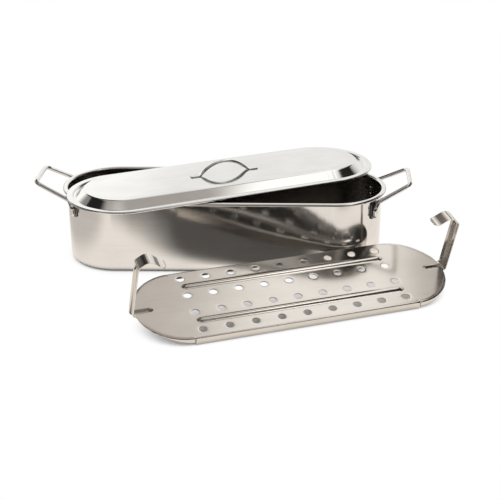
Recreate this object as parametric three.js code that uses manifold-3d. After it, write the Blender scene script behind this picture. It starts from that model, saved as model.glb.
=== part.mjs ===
// Fish poacher: an oblong pan with wire handles, a lid lying askew on its rim, and a perforated
// lift-out rack that leans on the pan's front wall. Millimetres and degrees, +Z up. The origin is
// the centre of the pan's base, and the pan's length runs along X.
import * as THREE from 'three';
import { mergeVertices } from 'three/addons/utils/BufferGeometryUtils.js';
import Module from 'manifold-3d';

const wasm = await Module();
wasm.setup();

// Clearances
const seatGap = 0.3;
const holeClearance = 0.25;

// Pan
const panLength = 450;
const panBreadth = 150;
const panHeight = 104;
const panSheet = 1;
const rimReach = 6;
const rimBend = 1.5;
const hemDrop = 3;
const hemBend = 1;
const baseCorner = 9;

// Pan handles, each a wire loop whose two ends turn down the wall
const wireDiameter = 6;
const barReach = 31;
const barSkew = 1.6;
const barHeight = 117.4;
const barLength = 64.2;
const barCorner = 9;
const shoulderSpacing = 82.4;
const shoulderHeight = 95;
const shoulderBend = 7;
const footSpacing = 95.6;
const footTop = 87;
const footBend = 6;
const footBottom = 74;

// Brackets that hold the handles' feet
const bracketSheet = 1.5;
const bracketBreadth = 17;
const bracketMargin = 4;
const bracketBottom = 72;
const bracketTop = 96;

// Rivets through the brackets and the wall
const rivetDiameter = 3.6;
const rivetHeadDiameter = 6.4;
const rivetHeadHeight = 1.6;
const rivetTailDiameter = 5.6;
const rivetTailHeight = 1.2;
const rivetMargin = 4.6;
const rivetHeights = { upper: 86, lower: 77 };

// Lid
const lidSheet = 0.8;
const lidFlange = 8.5;
const grooveBreadth = 3.5;
const grooveDepth = 2.7;
const grooveSlant = 0.8;
const crownInset = 24.5;
const crownRise = 7.5;
const crownBend = 4;
const grooveBend = 1.2;
const lipDrop = 2;
const lipBend = 1;
const lidTurn = 24;
const lidShift = { x: -1.5, y: 19 };

// Lid handle, an arched strap
const strapSheet = 1.5;
const strapBreadth = 10;
const archSpan = 73;
const archRise = 17.2;
const tabLength = 14;

// Rack
const rackLength = 422;
const rackBreadth = 133;
const rackEndReach = 61;
const rackSheet = 1;
const rackEdgeDrop = 10.5;
const endLipDrop = 8.5;
const endLipReach = 45;
const endLipSlit = 1.5;
const drainHoleDiameter = 10.5;
const drainHolePitch = 34.3;
const drainHoleColumns = 9;
const drainHoleRows = 4;
const beadBreadth = 9;
const beadHeight = 2.2;
const beadLength = 280;

// Rack hooks, each a bent strip that rises from an end of the plate
const hookBreadth = 20;
const hookSheet = 1.2;
const hookRise = 73.5;
const foldOffset = 0.7;
const foldBend = 3;
const hookCrest = { inward: 13, up: 10.5, bend: 11 };
const hookDip = { inward: 30, down: 1.5, bend: 13 };
const hookTip = { inward: 35.5, down: 1 };
const hookLean = { left: -5, right: 5 };

// Where the rack stands
const rackTurn = 20.23;
const rackTilt = 12.49;
const rackShift = 31.3;

const radians = THREE.MathUtils.degToRad;

function steel(colour, roughness) {
  return new THREE.MeshStandardMaterial({ color: colour, roughness, metalness: 1 });
}

function piece(name, geometry, material) {
  const mesh = new THREE.Mesh(geometry, material);
  mesh.name = name;
  return mesh;
}

// Booleans
function toSolid(geometry) {
  const bare = geometry.clone();
  bare.deleteAttribute('normal');
  bare.deleteAttribute('uv');
  const merged = mergeVertices(bare, 1e-4);
  const vertProperties = new Float32Array(merged.attributes.position.array);
  const triVerts = new Uint32Array(merged.index.array);
  return new wasm.Manifold(new wasm.Mesh({ numProp: 3, vertProperties, triVerts }));
}

function toGeometry(solid) {
  const mesh = solid.getMesh();
  const geometry = new THREE.BufferGeometry();
  geometry.setAttribute('position', new THREE.BufferAttribute(mesh.vertProperties, 3));
  geometry.setIndex(new THREE.BufferAttribute(mesh.triVerts, 1));
  geometry.computeVertexNormals();
  return geometry;
}

function joined(base, additions, cuts) {
  const whole = additions.reduce((solid, part) => solid.add(toSolid(part)), toSolid(base));
  return toGeometry(cuts.reduce((solid, part) => solid.subtract(toSolid(part)), whole));
}

// Bent lines: each corner is a point and the radius of its bend
function filleted(corners, steps = 3) {
  return corners.flatMap(([point, radius], index) => {
    if (!radius || index === 0 || index === corners.length - 1) return [point.clone()];
    const before = point.clone().sub(corners[index - 1][0]).normalize();
    const after = corners[index + 1][0].clone().sub(point).normalize();
    const turn = Math.acos(THREE.MathUtils.clamp(before.dot(after), -1, 1));
    const side = after.clone().addScaledVector(before, -before.dot(after)).normalize();
    const start = point.clone().addScaledVector(before, -radius * Math.tan(turn / 2));
    return Array.from({ length: steps + 1 }, (_, step) => {
      const angle = turn * (step / steps);
      const along = radius * Math.sin(angle);
      const across = radius * (1 - Math.cos(angle));
      return start.clone().addScaledVector(before, along).addScaledVector(side, across);
    });
  });
}

// A line moved to its right by a distance, with mitred corners
function offsetLine(points, distance) {
  const normals = points.slice(1).map((point, index) => {
    const along = point.clone().sub(points[index]).normalize();
    return new THREE.Vector2(along.y, -along.x);
  });
  return points.map((point, index) => {
    const first = normals[Math.max(index - 1, 0)];
    const second = normals[Math.min(index, normals.length - 1)];
    const mitre = first.clone().add(second).divideScalar(1 + first.dot(second));
    return point.clone().addScaledVector(mitre, distance);
  });
}

// Pressed oblong sheet: the profile's x is how far it lies inside the outline, its y is its height
const arcSteps = 24;

function oblong(length, breadth) {
  const radius = breadth / 2;
  const reach = length / 2 - radius;
  const points = [];
  for (const side of [1, -1]) {
    for (let step = 0; step <= arcSteps; step += 1) {
      const angle = Math.PI * (step / arcSteps - 0.5);
      const x = side * (reach + radius * Math.cos(angle));
      points.push(new THREE.Vector2(x, side * radius * Math.sin(angle)));
    }
  }
  return points;
}

function pressedSheet(underside, thickness, length, breadth) {
  const profile = [...underside, ...offsetLine(underside, thickness).reverse()];
  const positions = [];
  for (const { x: inset, y: height } of profile) {
    for (const point of oblong(length - 2 * inset, breadth - 2 * inset)) {
      positions.push(point.x, point.y, height);
    }
  }
  const count = positions.length / 3 / profile.length;
  const indices = [];
  for (let ring = 0; ring < profile.length - 1; ring += 1) {
    for (let step = 0; step < count; step += 1) {
      const a = ring * count + step;
      const b = ring * count + (step + 1) % count;
      indices.push(a, b, b + count, a, b + count, a + count);
    }
  }
  const last = (profile.length - 1) * count;
  for (let step = 1; step < count - 1; step += 1) {
    indices.push(0, step + 1, step);
    indices.push(last, last + step, last + step + 1);
  }
  const geometry = new THREE.BufferGeometry();
  geometry.setAttribute('position', new THREE.Float32BufferAttribute(positions, 3));
  geometry.setIndex(indices);
  geometry.computeVertexNormals();
  return geometry;
}

// Strip bent in the XZ plane, as broad along Y as asked
function bentStrip(centreline, thickness, breadth) {
  const outline = [
    ...offsetLine(centreline, thickness / 2),
    ...offsetLine(centreline, -thickness / 2).reverse(),
  ];
  const settings = { depth: breadth, bevelEnabled: false };
  const geometry = new THREE.ExtrudeGeometry(new THREE.Shape(outline), settings);
  return geometry.rotateX(Math.PI / 2).translate(0, breadth / 2, 0);
}

// Pan body
const wallLength = panLength - 2 * rimReach;
const wallBreadth = panBreadth - 2 * rimReach;
const wallRadius = wallBreadth / 2;
const arcCentre = wallLength / 2 - wallRadius;

const panUnderside = filleted([
  [new THREE.Vector2(rimReach + baseCorner + panSheet, 0), 0],
  [new THREE.Vector2(rimReach, 0), baseCorner],
  [new THREE.Vector2(rimReach, panHeight - panSheet), rimBend],
  [new THREE.Vector2(panSheet, panHeight - panSheet), hemBend],
  [new THREE.Vector2(panSheet, panHeight - hemDrop), 0],
]);

// Brackets, placed on the arcs of the wall by their distance along it
const bracketInner = wallRadius + seatGap;
const bracketOuter = bracketInner + bracketSheet;
const wireDistance = bracketOuter + seatGap + wireDiameter / 2;
const footAngle = Math.asin(footSpacing / 2 / wireDistance);
const shoulderAngle = Math.asin(shoulderSpacing / 2 / wireDistance);
const bracketEnd = footAngle + bracketMargin / bracketOuter;
const bracketStart = bracketEnd - bracketBreadth / bracketOuter;
const rivetAngle = bracketStart + rivetMargin / bracketOuter;
const rivetStack = panSheet + seatGap + bracketSheet;

const sides = { left: -1, right: 1 };
const depths = { front: -1, back: 1 };

// A point on an arc, at an angle from the tip of the pan
function onArc(side, depth, angle, distance, height) {
  const x = side * (arcCentre + distance * Math.cos(angle));
  return new THREE.Vector3(x, depth * distance * Math.sin(angle), height);
}

function atArc(geometry, side, depth, angle, distance, height) {
  const turned = side > 0 ? depth * angle : Math.PI - depth * angle;
  const place = onArc(side, depth, angle, distance, height);
  return geometry.rotateZ(turned).translate(place.x, place.y, place.z);
}

function bracket(name, side, depth) {
  const shape = new THREE.Shape();
  shape.absarc(0, 0, bracketOuter, bracketStart, bracketEnd, false);
  shape.absarc(0, 0, bracketInner, bracketEnd, bracketStart, true);
  const settings = { depth: bracketTop - bracketBottom, bevelEnabled: false, curveSegments: 3 };
  const plate = new THREE.ExtrudeGeometry(shape, settings);
  const turned = side > 0 ? 0 : Math.PI;
  const mirrored = side * depth > 0 ? 0 : -bracketStart - bracketEnd;
  plate.rotateZ(turned + mirrored).translate(side * arcCentre, 0, bracketBottom);
  return piece(name, joined(plate, [], rivetHoles(side, depth)), steel(0xb9b4ac, 0.25));
}

// Rivet along X: its tail lies below x = 0 and its head above the stack that it holds
function rivetGeometry() {
  const shank = rivetDiameter / 2;
  const head = rivetHeadDiameter / 2;
  const tail = rivetTailDiameter / 2;
  const top = rivetStack + seatGap;
  const profile = [
    [0, -seatGap - rivetTailHeight],
    [tail * 0.8, -seatGap - rivetTailHeight],
    [tail, -seatGap - rivetTailHeight / 2],
    [tail, -seatGap],
    [shank, -seatGap],
    [shank, top],
    [head, top],
    [head * 0.92, top + rivetHeadHeight * 0.5],
    [head * 0.6, top + rivetHeadHeight * 0.87],
    [0, top + rivetHeadHeight],
  ];
  const points = profile.map(([x, y]) => new THREE.Vector2(x, y));
  return new THREE.LatheGeometry(points, 14).rotateZ(-Math.PI / 2);
}

function rivetHoles(side, depth) {
  return Object.values(rivetHeights).map((height) => {
    const radius = rivetDiameter / 2 + holeClearance;
    const hole = new THREE.CylinderGeometry(radius, radius, 3 * rivetStack, 14).rotateZ(Math.PI / 2);
    return atArc(hole, side, depth, rivetAngle, wallRadius, height);
  });
}

function panRivet(name, side, depth, height) {
  const geometry = atArc(rivetGeometry(), side, depth, rivetAngle, wallRadius - panSheet, height);
  return piece(name, geometry, steel(0xd6d2cc, 0.2));
}

function panBody() {
  const shell = pressedSheet(panUnderside, panSheet, panLength, panBreadth);
  const holes = Object.values(sides).flatMap((side) => {
    return Object.values(depths).flatMap((depth) => rivetHoles(side, depth));
  });
  return piece('pan_body', joined(shell, [], holes), steel(0xcfc8bf, 0.28));
}

// Pan handles
function panHandle(name, side) {
  const barX = (depth) => side * (panLength / 2 + barReach) + depth * barSkew;
  const leg = (depth) => [
    [onArc(side, depth, footAngle, wireDistance, footBottom), 0],
    [onArc(side, depth, footAngle, wireDistance, footTop), footBend],
    [onArc(side, depth, shoulderAngle, wireDistance, shoulderHeight), shoulderBend],
    [new THREE.Vector3(barX(depth), depth * barLength / 2, barHeight), barCorner],
  ];
  const corners = filleted([...leg(1), ...leg(-1).reverse()], 5);
  const path = new THREE.CurvePath();
  for (let index = 1; index < corners.length; index += 1) {
    path.add(new THREE.LineCurve3(corners[index - 1], corners[index]));
  }
  const section = new THREE.Shape().absarc(0, 0, wireDiameter / 2, 0, 2 * Math.PI, false);
  const steps = Math.round(path.getLength() / (wireDiameter * 0.6));
  const settings = { steps, extrudePath: path, curveSegments: 6 };
  return piece(name, new THREE.ExtrudeGeometry(section, settings), steel(0xc4c0ba, 0.18));
}

// Lid, with z = 0 at the underside of its groove
const flangeUnderside = grooveDepth;
const crownTop = grooveDepth + lidSheet + crownRise;
const grooveInset = lidFlange + grooveSlant;

const lidUnderside = filleted([
  [new THREE.Vector2(crownInset + 2 * crownBend, crownTop - lidSheet), 0],
  [new THREE.Vector2(crownInset, crownTop - lidSheet), crownBend],
  [new THREE.Vector2(grooveInset + grooveBreadth, 0), grooveBend],
  [new THREE.Vector2(grooveInset, 0), grooveBend],
  [new THREE.Vector2(lidFlange, flangeUnderside), grooveBend],
  [new THREE.Vector2(lidSheet, flangeUnderside), lipBend],
  [new THREE.Vector2(lidSheet, flangeUnderside - lipDrop), 0],
]);

function lidShell() {
  const shell = pressedSheet(lidUnderside, lidSheet, panLength, panBreadth);
  return piece('lid_shell', shell, steel(0xe6e5e3, 0.2));
}

function lidHandle() {
  const level = crownTop + strapSheet / 2;
  const radius = ((archSpan / 2) ** 2 + archRise ** 2) / (2 * archRise);
  const halfAngle = Math.asin(archSpan / 2 / radius);
  const steps = 20;
  const arch = Array.from({ length: steps + 1 }, (_, step) => {
    const angle = halfAngle * (2 * step / steps - 1);
    const height = level + archRise - radius * (1 - Math.cos(angle));
    return new THREE.Vector2(radius * Math.sin(angle), height);
  });
  const end = archSpan / 2 + tabLength;
  const line = [new THREE.Vector2(-end, level), ...arch, new THREE.Vector2(end, level)];
  return piece('lid_handle', bentStrip(line, strapSheet, strapBreadth), steel(0xcfccc8, 0.16));
}

function lidGroup() {
  const group = new THREE.Group();
  group.add(lidShell(), lidHandle());
  group.rotation.z = radians(lidTurn);
  group.position.set(lidShift.x, lidShift.y, panHeight + seatGap);
  return group;
}

// Rack, with z = 0 at the top of its plate
const rackStraight = rackLength / 2 - rackEndReach;

function rackOutline(inset = 0) {
  const half = rackBreadth / 2 - inset;
  const reach = rackEndReach - inset;
  const shape = new THREE.Shape();
  shape.moveTo(-rackStraight, -half);
  shape.lineTo(rackStraight, -half);
  shape.absellipse(rackStraight, 0, reach, half, -Math.PI / 2, Math.PI / 2, false);
  shape.lineTo(-rackStraight, half);
  shape.absellipse(-rackStraight, 0, reach, half, Math.PI / 2, 1.5 * Math.PI, false);
  return shape;
}

function drainHoles() {
  const holes = [];
  for (let column = 0; column < drainHoleColumns; column += 1) {
    for (let row = 0; row < drainHoleRows; row += 1) {
      const x = (column - (drainHoleColumns - 1) / 2) * drainHolePitch;
      const y = (row - (drainHoleRows - 1) / 2) * drainHolePitch;
      holes.push(new THREE.Path().absarc(x, y, drainHoleDiameter / 2, 0, 2 * Math.PI, true));
    }
  }
  return holes;
}

function bead(y, breadth, level) {
  const radius = breadth / 2;
  const length = beadLength - beadBreadth;
  const capsule = new THREE.CapsuleGeometry(radius, length, 3, 12).rotateZ(Math.PI / 2);
  return capsule.scale(1, 1, beadHeight / radius).translate(0, y, level);
}

// Turned-down lip around the corners of an end, tapering to nothing towards the tip
function endLip(side) {
  const ring = rackOutline();
  ring.holes.push(rackOutline(rackSheet));
  const settings = { depth: endLipDrop, bevelEnabled: false, curveSegments: 8 };
  const band = new THREE.ExtrudeGeometry(ring, settings).translate(0, 0, -endLipDrop);
  const start = rackStraight + endLipSlit;
  const taper = new THREE.Shape();
  taper.moveTo(start, 0);
  taper.lineTo(start, -endLipDrop);
  taper.lineTo(start + endLipReach, 0);
  const across = { depth: 2 * rackBreadth, bevelEnabled: false };
  const wedge = new THREE.ExtrudeGeometry(taper, across).rotateX(Math.PI / 2).translate(0, rackBreadth, 0);
  if (side < 0) wedge.rotateZ(Math.PI);
  return toGeometry(toSolid(band).intersect(toSolid(wedge)));
}

function rackPlate() {
  const shape = rackOutline();
  shape.holes = drainHoles();
  const settings = { depth: rackSheet, bevelEnabled: false, curveSegments: 8 };
  const plate = new THREE.ExtrudeGeometry(shape, settings).translate(0, 0, -rackSheet);
  const edges = Object.values(depths).map((side) => {
    const edge = new THREE.BoxGeometry(2 * rackStraight, rackSheet, rackEdgeDrop);
    return edge.translate(0, side * (rackBreadth - rackSheet) / 2, -rackEdgeDrop / 2);
  });
  const beadLines = Object.values(depths).map((side) => side * drainHolePitch);
  const ribs = beadLines.map((y) => bead(y, beadBreadth, 0));
  const hollows = beadLines.map((y) => bead(y, beadBreadth - 2 * rackSheet, -rackSheet));
  const lips = Object.values(sides).map((side) => endLip(side));
  const additions = [...edges, ...lips, ...ribs];
  return piece('rack_plate', joined(plate, additions, hollows), steel(0xd4cfc8, 0.24));
}

function rackHook(name, side) {
  const middle = -rackSheet / 2;
  const fold = new THREE.Vector2(foldOffset + foldBend, middle);
  const leaning = (inward, rise) => {
    const point = new THREE.Vector2(fold.x - inward, fold.y + rise);
    return point.rotateAround(fold, -radians(hookLean[name]));
  };
  const line = filleted([
    [new THREE.Vector2(seatGap, middle), 0],
    [fold, foldBend],
    [leaning(0, hookRise), foldBend],
    [leaning(hookCrest.inward, hookRise + hookCrest.up), hookCrest.bend],
    [leaning(hookDip.inward, hookRise - hookDip.down), hookDip.bend],
    [leaning(hookTip.inward, hookRise - hookTip.down), 0],
  ], 5);
  const mesh = piece(`rack_hook_${name}`, bentStrip(line, hookSheet, hookBreadth), steel(0xc4bfb8, 0.2));
  mesh.position.x = side * rackLength / 2;
  mesh.rotation.z = side > 0 ? 0 : Math.PI;
  return mesh;
}

// The rack's near edge stands on the floor and its far edge leans on the arc of the pan's wall
function rackGroup() {
  const turn = radians(rackTurn);
  const tilt = radians(rackTilt);
  const half = rackBreadth / 2;
  const along = new THREE.Vector3(Math.cos(turn), Math.sin(turn), 0);
  const level = new THREE.Vector3(-Math.sin(turn), Math.cos(turn), 0);
  const across = level.clone().multiplyScalar(Math.cos(tilt)).setZ(Math.sin(tilt));
  const normal = new THREE.Vector3().crossVectors(along, across);
  const farEdge = half * Math.cos(tilt) + rackEdgeDrop * Math.sin(tilt);
  const back = -arcCentre * Math.sin(turn) - wallRadius - seatGap - farEdge;
  const height = half * Math.sin(tilt) + rackEdgeDrop * Math.cos(tilt);
  const place = along.clone().multiplyScalar(rackShift).addScaledVector(level, back).setZ(height);
  const group = new THREE.Group();
  group.add(rackPlate());
  for (const [name, side] of Object.entries(sides)) group.add(rackHook(name, side));
  group.quaternion.setFromRotationMatrix(new THREE.Matrix4().makeBasis(along, across, normal));
  group.position.copy(place);
  return group;
}

const poacher = new THREE.Group();
poacher.add(panBody(), lidGroup(), rackGroup());
for (const [sideName, side] of Object.entries(sides)) {
  poacher.add(panHandle(`pan_handle_${sideName}`, side));
  for (const [depthName, depth] of Object.entries(depths)) {
    poacher.add(bracket(`bracket_${sideName}_${depthName}`, side, depth));
    for (const [heightName, height] of Object.entries(rivetHeights)) {
      poacher.add(panRivet(`rivet_${sideName}_${depthName}_${heightName}`, side, depth, height));
    }
  }
}

export default poacher;
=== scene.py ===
import contextlib
import math

import bmesh
import bpy
import numpy as np
from mathutils import Matrix, Vector
from mathutils.geometry import delaunay_2d_cdt


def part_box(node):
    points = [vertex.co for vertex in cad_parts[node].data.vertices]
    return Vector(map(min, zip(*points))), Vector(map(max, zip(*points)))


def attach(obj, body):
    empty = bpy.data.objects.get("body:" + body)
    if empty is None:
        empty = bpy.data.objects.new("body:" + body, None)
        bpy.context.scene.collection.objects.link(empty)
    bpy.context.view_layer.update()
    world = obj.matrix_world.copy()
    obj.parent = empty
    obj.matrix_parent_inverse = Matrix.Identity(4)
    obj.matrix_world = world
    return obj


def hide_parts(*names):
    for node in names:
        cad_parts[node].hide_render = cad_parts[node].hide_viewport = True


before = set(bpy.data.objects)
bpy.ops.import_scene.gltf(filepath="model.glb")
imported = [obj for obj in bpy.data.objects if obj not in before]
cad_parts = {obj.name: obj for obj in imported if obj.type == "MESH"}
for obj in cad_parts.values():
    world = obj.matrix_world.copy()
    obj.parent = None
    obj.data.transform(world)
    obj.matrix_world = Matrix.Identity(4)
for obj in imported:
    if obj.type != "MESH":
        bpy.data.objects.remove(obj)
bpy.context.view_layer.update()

bl_info = {
    "name": "Fish poacher",
    "version": (1, 0, 0),
    "blender": (4, 5, 0),
    "location": "3D View > Sidebar > Fish poacher",
    "description": "Builds an oblong steel fish poacher with its lid and its perforated rack",
    "category": "Add Mesh",
}

SIDES = {"left": -1, "right": 1}
DEPTHS = {"front": -1, "back": 1}

# Names of what meshes carry: places along and across the sheet, and the way that a rivet's head looks
GRAIN = "grain"
OUTWARD = "outward"

# How much smudges dull any steel, and how the pan's steel differs on its inside: painted shade, a darker
# tint, and duller steel
SMUDGE = 0.06
INSIDE_SHADE_TINT = (0.37, 0.35, 0.325, 1)
INSIDE_DULL = 0.15
INSIDE_EASE = 0.004

# Waves a metre, along and across the sheet, of what makes the steels uneven
SMUDGE_WAVES = (16, 22)
SWELL_WAVES = (7, 11)
HAZE_WAVES = (90, 90)
PIT_WAVES = (1400, 1400)

# Colours of the studio: plain, as the table and the ceiling look in the steel, and the painted shadow behind
# the rack
BLACK = (0, 0, 0, 1)
WHITE = (1, 1, 1, 1)
TABLE_TINT = (1, 0.945, 0.885, 1)
CEILING_TINTS = ((1, 0.94, 0.885, 1), (1, 0.99, 0.975, 1))
FRONT_TINT = (1, 0.985, 0.965, 1)
SIDE_TINT = (1, 0.97, 0.94, 1)
RACK_SHADOW_TINT = (0.06, 0.055, 0.05, 1)


# Properties

def length(name, description, default):
    return bpy.props.FloatProperty(
        name=name, description=description, default=default, unit="LENGTH", precision=5
    )


def turn(name, description, degrees):
    return bpy.props.FloatProperty(
        name=name, description=description, default=math.radians(degrees), unit="ROTATION"
    )


def tint(name, description, default):
    return bpy.props.FloatVectorProperty(
        name=name, description=description, default=default, subtype="COLOR", min=0, max=1
    )


def amount(name, description, default):
    return bpy.props.FloatProperty(name=name, description=description, default=default)


class PanSizes(bpy.types.PropertyGroup):
    long: length("Length", "Length over the rim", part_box("pan_body")[1].x * 2)
    broad: length("Breadth", "Breadth over the rim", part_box("pan_body")[1].y * 2)
    high: length("Height", "Height of the rim above the base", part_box("pan_body")[1].z)
    sheet: length("Sheet", "Thickness of the steel", 0.001)
    rim_reach: length("Rim reach", "How far the rim stands out from the wall", 0.006)
    rim_bend: length("Rim bend", "Radius between the wall and the rim", 0.0015)
    hem_drop: length("Hem drop", "How far the rim's edge turns down", 0.003)
    hem_bend: length("Hem bend", "Radius of the rim's outer edge", 0.0012)
    base_corner: length("Base corner", "Radius between the wall and the base", 0.009)
    base_step: length("Base step", "Rise of the pressed middle of the base", 0.0008)
    hollow: length("Wall hollow", "How far the long walls draw in at half their height", 0.0034)


class HandleSizes(bpy.types.PropertyGroup):
    wire: length("Wire", "Diameter of the wire", 0.006)
    reach: length("Bar reach", "How far the bar stands out from the rim", 0.031)
    skew: length("Bar skew", "How far each end of the bar stands askew", 0.0014)
    high: length("Bar height", "Height of the bar above the base", 0.1174)
    bar: length("Bar length", "Length of the bar", 0.0642)
    bar_corner: length("Bar corner", "Radius of the bar's corners", 0.009)
    shoulder: length("Shoulder spacing", "Distance between the two shoulders", 0.0824)
    shoulder_high: length("Shoulder height", "Height of the shoulders", 0.095)
    shoulder_bend: length("Shoulder bend", "Radius of the shoulders", 0.007)
    foot: length("Foot spacing", "Distance between the two feet", 0.0956)
    foot_top: length("Foot top", "Height where a foot starts", 0.087)
    foot_bend: length("Foot bend", "Radius at the top of a foot", 0.006)
    foot_bottom: length("Foot bottom", "Height where a foot ends", 0.074)


class BracketSizes(bpy.types.PropertyGroup):
    gap: length("Seat gap", "Clearance between seated pieces", 0.0003)
    sheet: length("Sheet", "Thickness of a bracket", 0.0015)
    broad: length("Breadth", "Breadth of a bracket along the wall", 0.017)
    margin: length("Margin", "From a foot's middle to the bracket's edge", 0.004)
    bottom: length("Bottom", "Height of the lower edge", 0.072)
    top: length("Top", "Height of the upper edge", 0.096)
    corner: length("Corner", "Radius of the corners", 0.003)
    rivet_margin: length("Rivet margin", "From the bracket's edge to the rivets", 0.0046)
    rivet_upper: length("Upper rivet", "Height of the upper rivets", 0.086)
    rivet_lower: length("Lower rivet", "Height of the lower rivets", 0.077)
    shank: length("Rivet diameter", "Diameter of a rivet's shank", 0.0036)
    head: length("Head diameter", "Diameter of a rivet's head", 0.0064)
    head_high: length("Head height", "Height of a rivet's head", 0.0016)
    tail: length("Tail diameter", "Diameter of a rivet's end inside the pan", 0.0056)
    tail_high: length("Tail height", "Height of a rivet's end inside the pan", 0.0012)


class LidSizes(bpy.types.PropertyGroup):
    sheet: length("Sheet", "Thickness of the steel", 0.0008)
    flange: length("Flange", "Breadth of the flat flange", 0.0085)
    groove: length("Groove", "Breadth of the groove's floor", 0.0035)
    groove_deep: length("Groove depth", "Depth of the groove", 0.0027)
    groove_slant: length("Groove slant", "How far the groove's outer side leans", 0.0008)
    groove_bend: length("Groove bend", "Radius of the groove's bends", 0.0012)
    crown_inset: length("Crown inset", "From the edge to the flat crown", 0.0245)
    crown_rise: length("Crown rise", "Height of the crown above the flange", 0.0075)
    crown_bend: length("Crown bend", "Radius at the crown's edge", 0.004)
    lip_drop: length("Lip drop", "How far the edge turns down", 0.002)
    lip_bend: length("Lip bend", "Radius of the edge", 0.001)
    angle: turn("Turn", "How far the lid lies askew", 24)
    shift_x: length("Shift X", "Where the lid's middle lies, along the pan", -0.0015)
    shift_y: length("Shift Y", "Where the lid's middle lies, across the pan", 0.019)
    strap: length("Strap", "Thickness of the handle strap", 0.0015)
    strap_broad: length("Strap breadth", "Breadth of the handle strap at its tabs", 0.010)
    strap_slim: length("Arch breadth", "Breadth of the handle on its arch", 0.0052)
    strap_round: length("Arch thickness", "Thickness of the handle on its arch", 0.0042)
    arch: length("Arch span", "Span of the handle's arch", 0.073)
    arch_rise: length("Arch rise", "Rise of the handle's arch", 0.0172)
    tab: length("Tab", "Length of each flat tab", 0.014)


class RackSizes(bpy.types.PropertyGroup):
    long: length("Length", "Length of the plate", 0.422)
    broad: length("Breadth", "Breadth of the plate", 0.133)
    end_reach: length("End reach", "Length of each rounded end", 0.061)
    sheet: length("Sheet", "Thickness of the steel", 0.001)
    edge_drop: length("Edge drop", "Depth of the turned-down long edges", 0.0105)
    edge_bend: length("Edge bend", "Radius of the turned-down edges", 0.0015)
    lip_drop: length("End lip drop", "Depth of the end lips where they start", 0.0064)
    lip_reach: length("End lip reach", "How far the end lips run along the plate", 0.060)
    slit: length("Slit", "Gap between a long edge and an end lip", 0.0015)
    hole: length("Hole", "Diameter of a drain hole", 0.0105)
    hole_dish: length("Hole dish", "How far a hole's edge is pressed down", 0.00015)
    pitch: length("Pitch", "Distance from hole to hole", 0.0343)
    columns: bpy.props.IntProperty(name="Columns", description="Holes along the plate", default=9)
    rows: bpy.props.IntProperty(name="Rows", description="Holes across the plate", default=4)
    bead: length("Bead", "Breadth of the two long beads", 0.0125)
    bead_high: length("Bead height", "Height of the two long beads", 0.0029)
    bead_long: length("Bead length", "Length of the two long beads", 0.280)
    hook_bead: length("Hook bead", "Breadth of the bead along a hook's strip", 0.0098)
    hook_bead_high: length("Hook bead height", "How far the bead along a strip is pressed down", 0.0026)
    hook_bead_reach: length("Hook bead reach", "How far that bead runs onto the plate", 0.024)
    strip: length("Strip", "Breadth of a hook's strip", 0.020)
    strip_rise: length("Strip rise", "Height of a hook's upright strip", 0.0735)
    fold: length("Fold", "Radius where a strip leaves the plate", 0.003)
    fold_start: length("Fold start", "From the plate's tip to the fold", 0.0007)
    crest_in: length("Crest reach", "How far in the crest lies", 0.013)
    crest_up: length("Crest rise", "How far up the crest lies", 0.0105)
    crest_bend: length("Crest bend", "Radius of the crest", 0.011)
    dip_in: length("Dip reach", "How far in the dip lies", 0.030)
    dip_down: length("Dip drop", "How far down the dip lies", 0.0015)
    dip_bend: length("Dip bend", "Radius of the dip", 0.013)
    tip_in: length("Tip reach", "How far in the tip lies", 0.0355)
    tip_down: length("Tip drop", "How far down the tip lies", 0.001)
    lean: turn("Hook lean", "How far both uprights lean to the right", 5)
    angle: turn("Turn", "How far the rack is turned", 20.23)
    tilt: turn("Tilt", "How far the rack is tilted", 12.49)
    shift: length("Shift", "How far the rack is moved along itself", 0.0313)


class SteelLooks(bpy.types.PropertyGroup):
    pan: tint("Pan", "Colour of the pan's steel", (0.765, 0.745, 0.72))
    pan_rough: amount("Pan roughness", "How dull the pan's steel is", 0.10)
    lid: tint("Lid", "Colour of the lid's steel", (0.77, 0.76, 0.735))
    lid_rough: amount("Lid roughness", "How dull the lid's steel is", 0.09)
    rack: tint("Rack", "Colour of the rack's steel", (0.70, 0.66, 0.612))
    rack_rough: amount("Rack roughness", "How dull the rack's steel is", 0.16)
    wire: tint("Wire", "Colour of the handles' steel", (0.78, 0.765, 0.75))
    wire_rough: amount("Wire roughness", "How dull the handles' steel is", 0.06)
    rivet: tint("Rivets", "Colour of the rivets", (0.74, 0.72, 0.70))
    # Painted shade: the brackets get a near-black colour that stands for the shade on them
    bracket: tint("Brackets", "Colour of the brackets", (0.20, 0.19, 0.185))


class StudioSetting(bpy.types.PropertyGroup):
    floor: tint("Floor", "Colour of the floor", (0.93, 0.93, 0.93))
    shadow: length("Shadow reach", "How far from the pieces the floor keeps its shadows", 0.05)
    table: length("Table edge", "How far in front of the pan the white floor ends", 0.72)
    ambient: amount("Ambient", "Brightness of the light from all around", 0.62)
    room: amount("Dark cards", "Brightness of the dark cards", 0.02)
    side: amount("Side cards", "Brightness of the side cards where they are brightest", 0.25)
    top: amount("Ceiling", "Brightness of the ceiling", 1.1)
    key: amount("Key light", "Power of the soft light overhead, in watts", 14.0)
    lens: amount("Lens", "Focal length in millimetres", 82.5)
    camera: bpy.props.FloatVectorProperty(
        name="Camera", description="Where the camera stands", default=(0.0627, -1.4989, 0.6664),
        subtype="TRANSLATION", unit="LENGTH",
    )
    pitch: turn("Camera pitch", "How far the camera looks up from straight down", 66.17)
    yaw: turn("Camera yaw", "How far the camera looks to the left", 1.04)


GROUPS = {
    "poacher_pan": PanSizes,
    "poacher_handles": HandleSizes,
    "poacher_brackets": BracketSizes,
    "poacher_lid": LidSizes,
    "poacher_rack": RackSizes,
    "poacher_steel": SteelLooks,
    "poacher_studio": StudioSetting,
}


# Finishes

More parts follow.
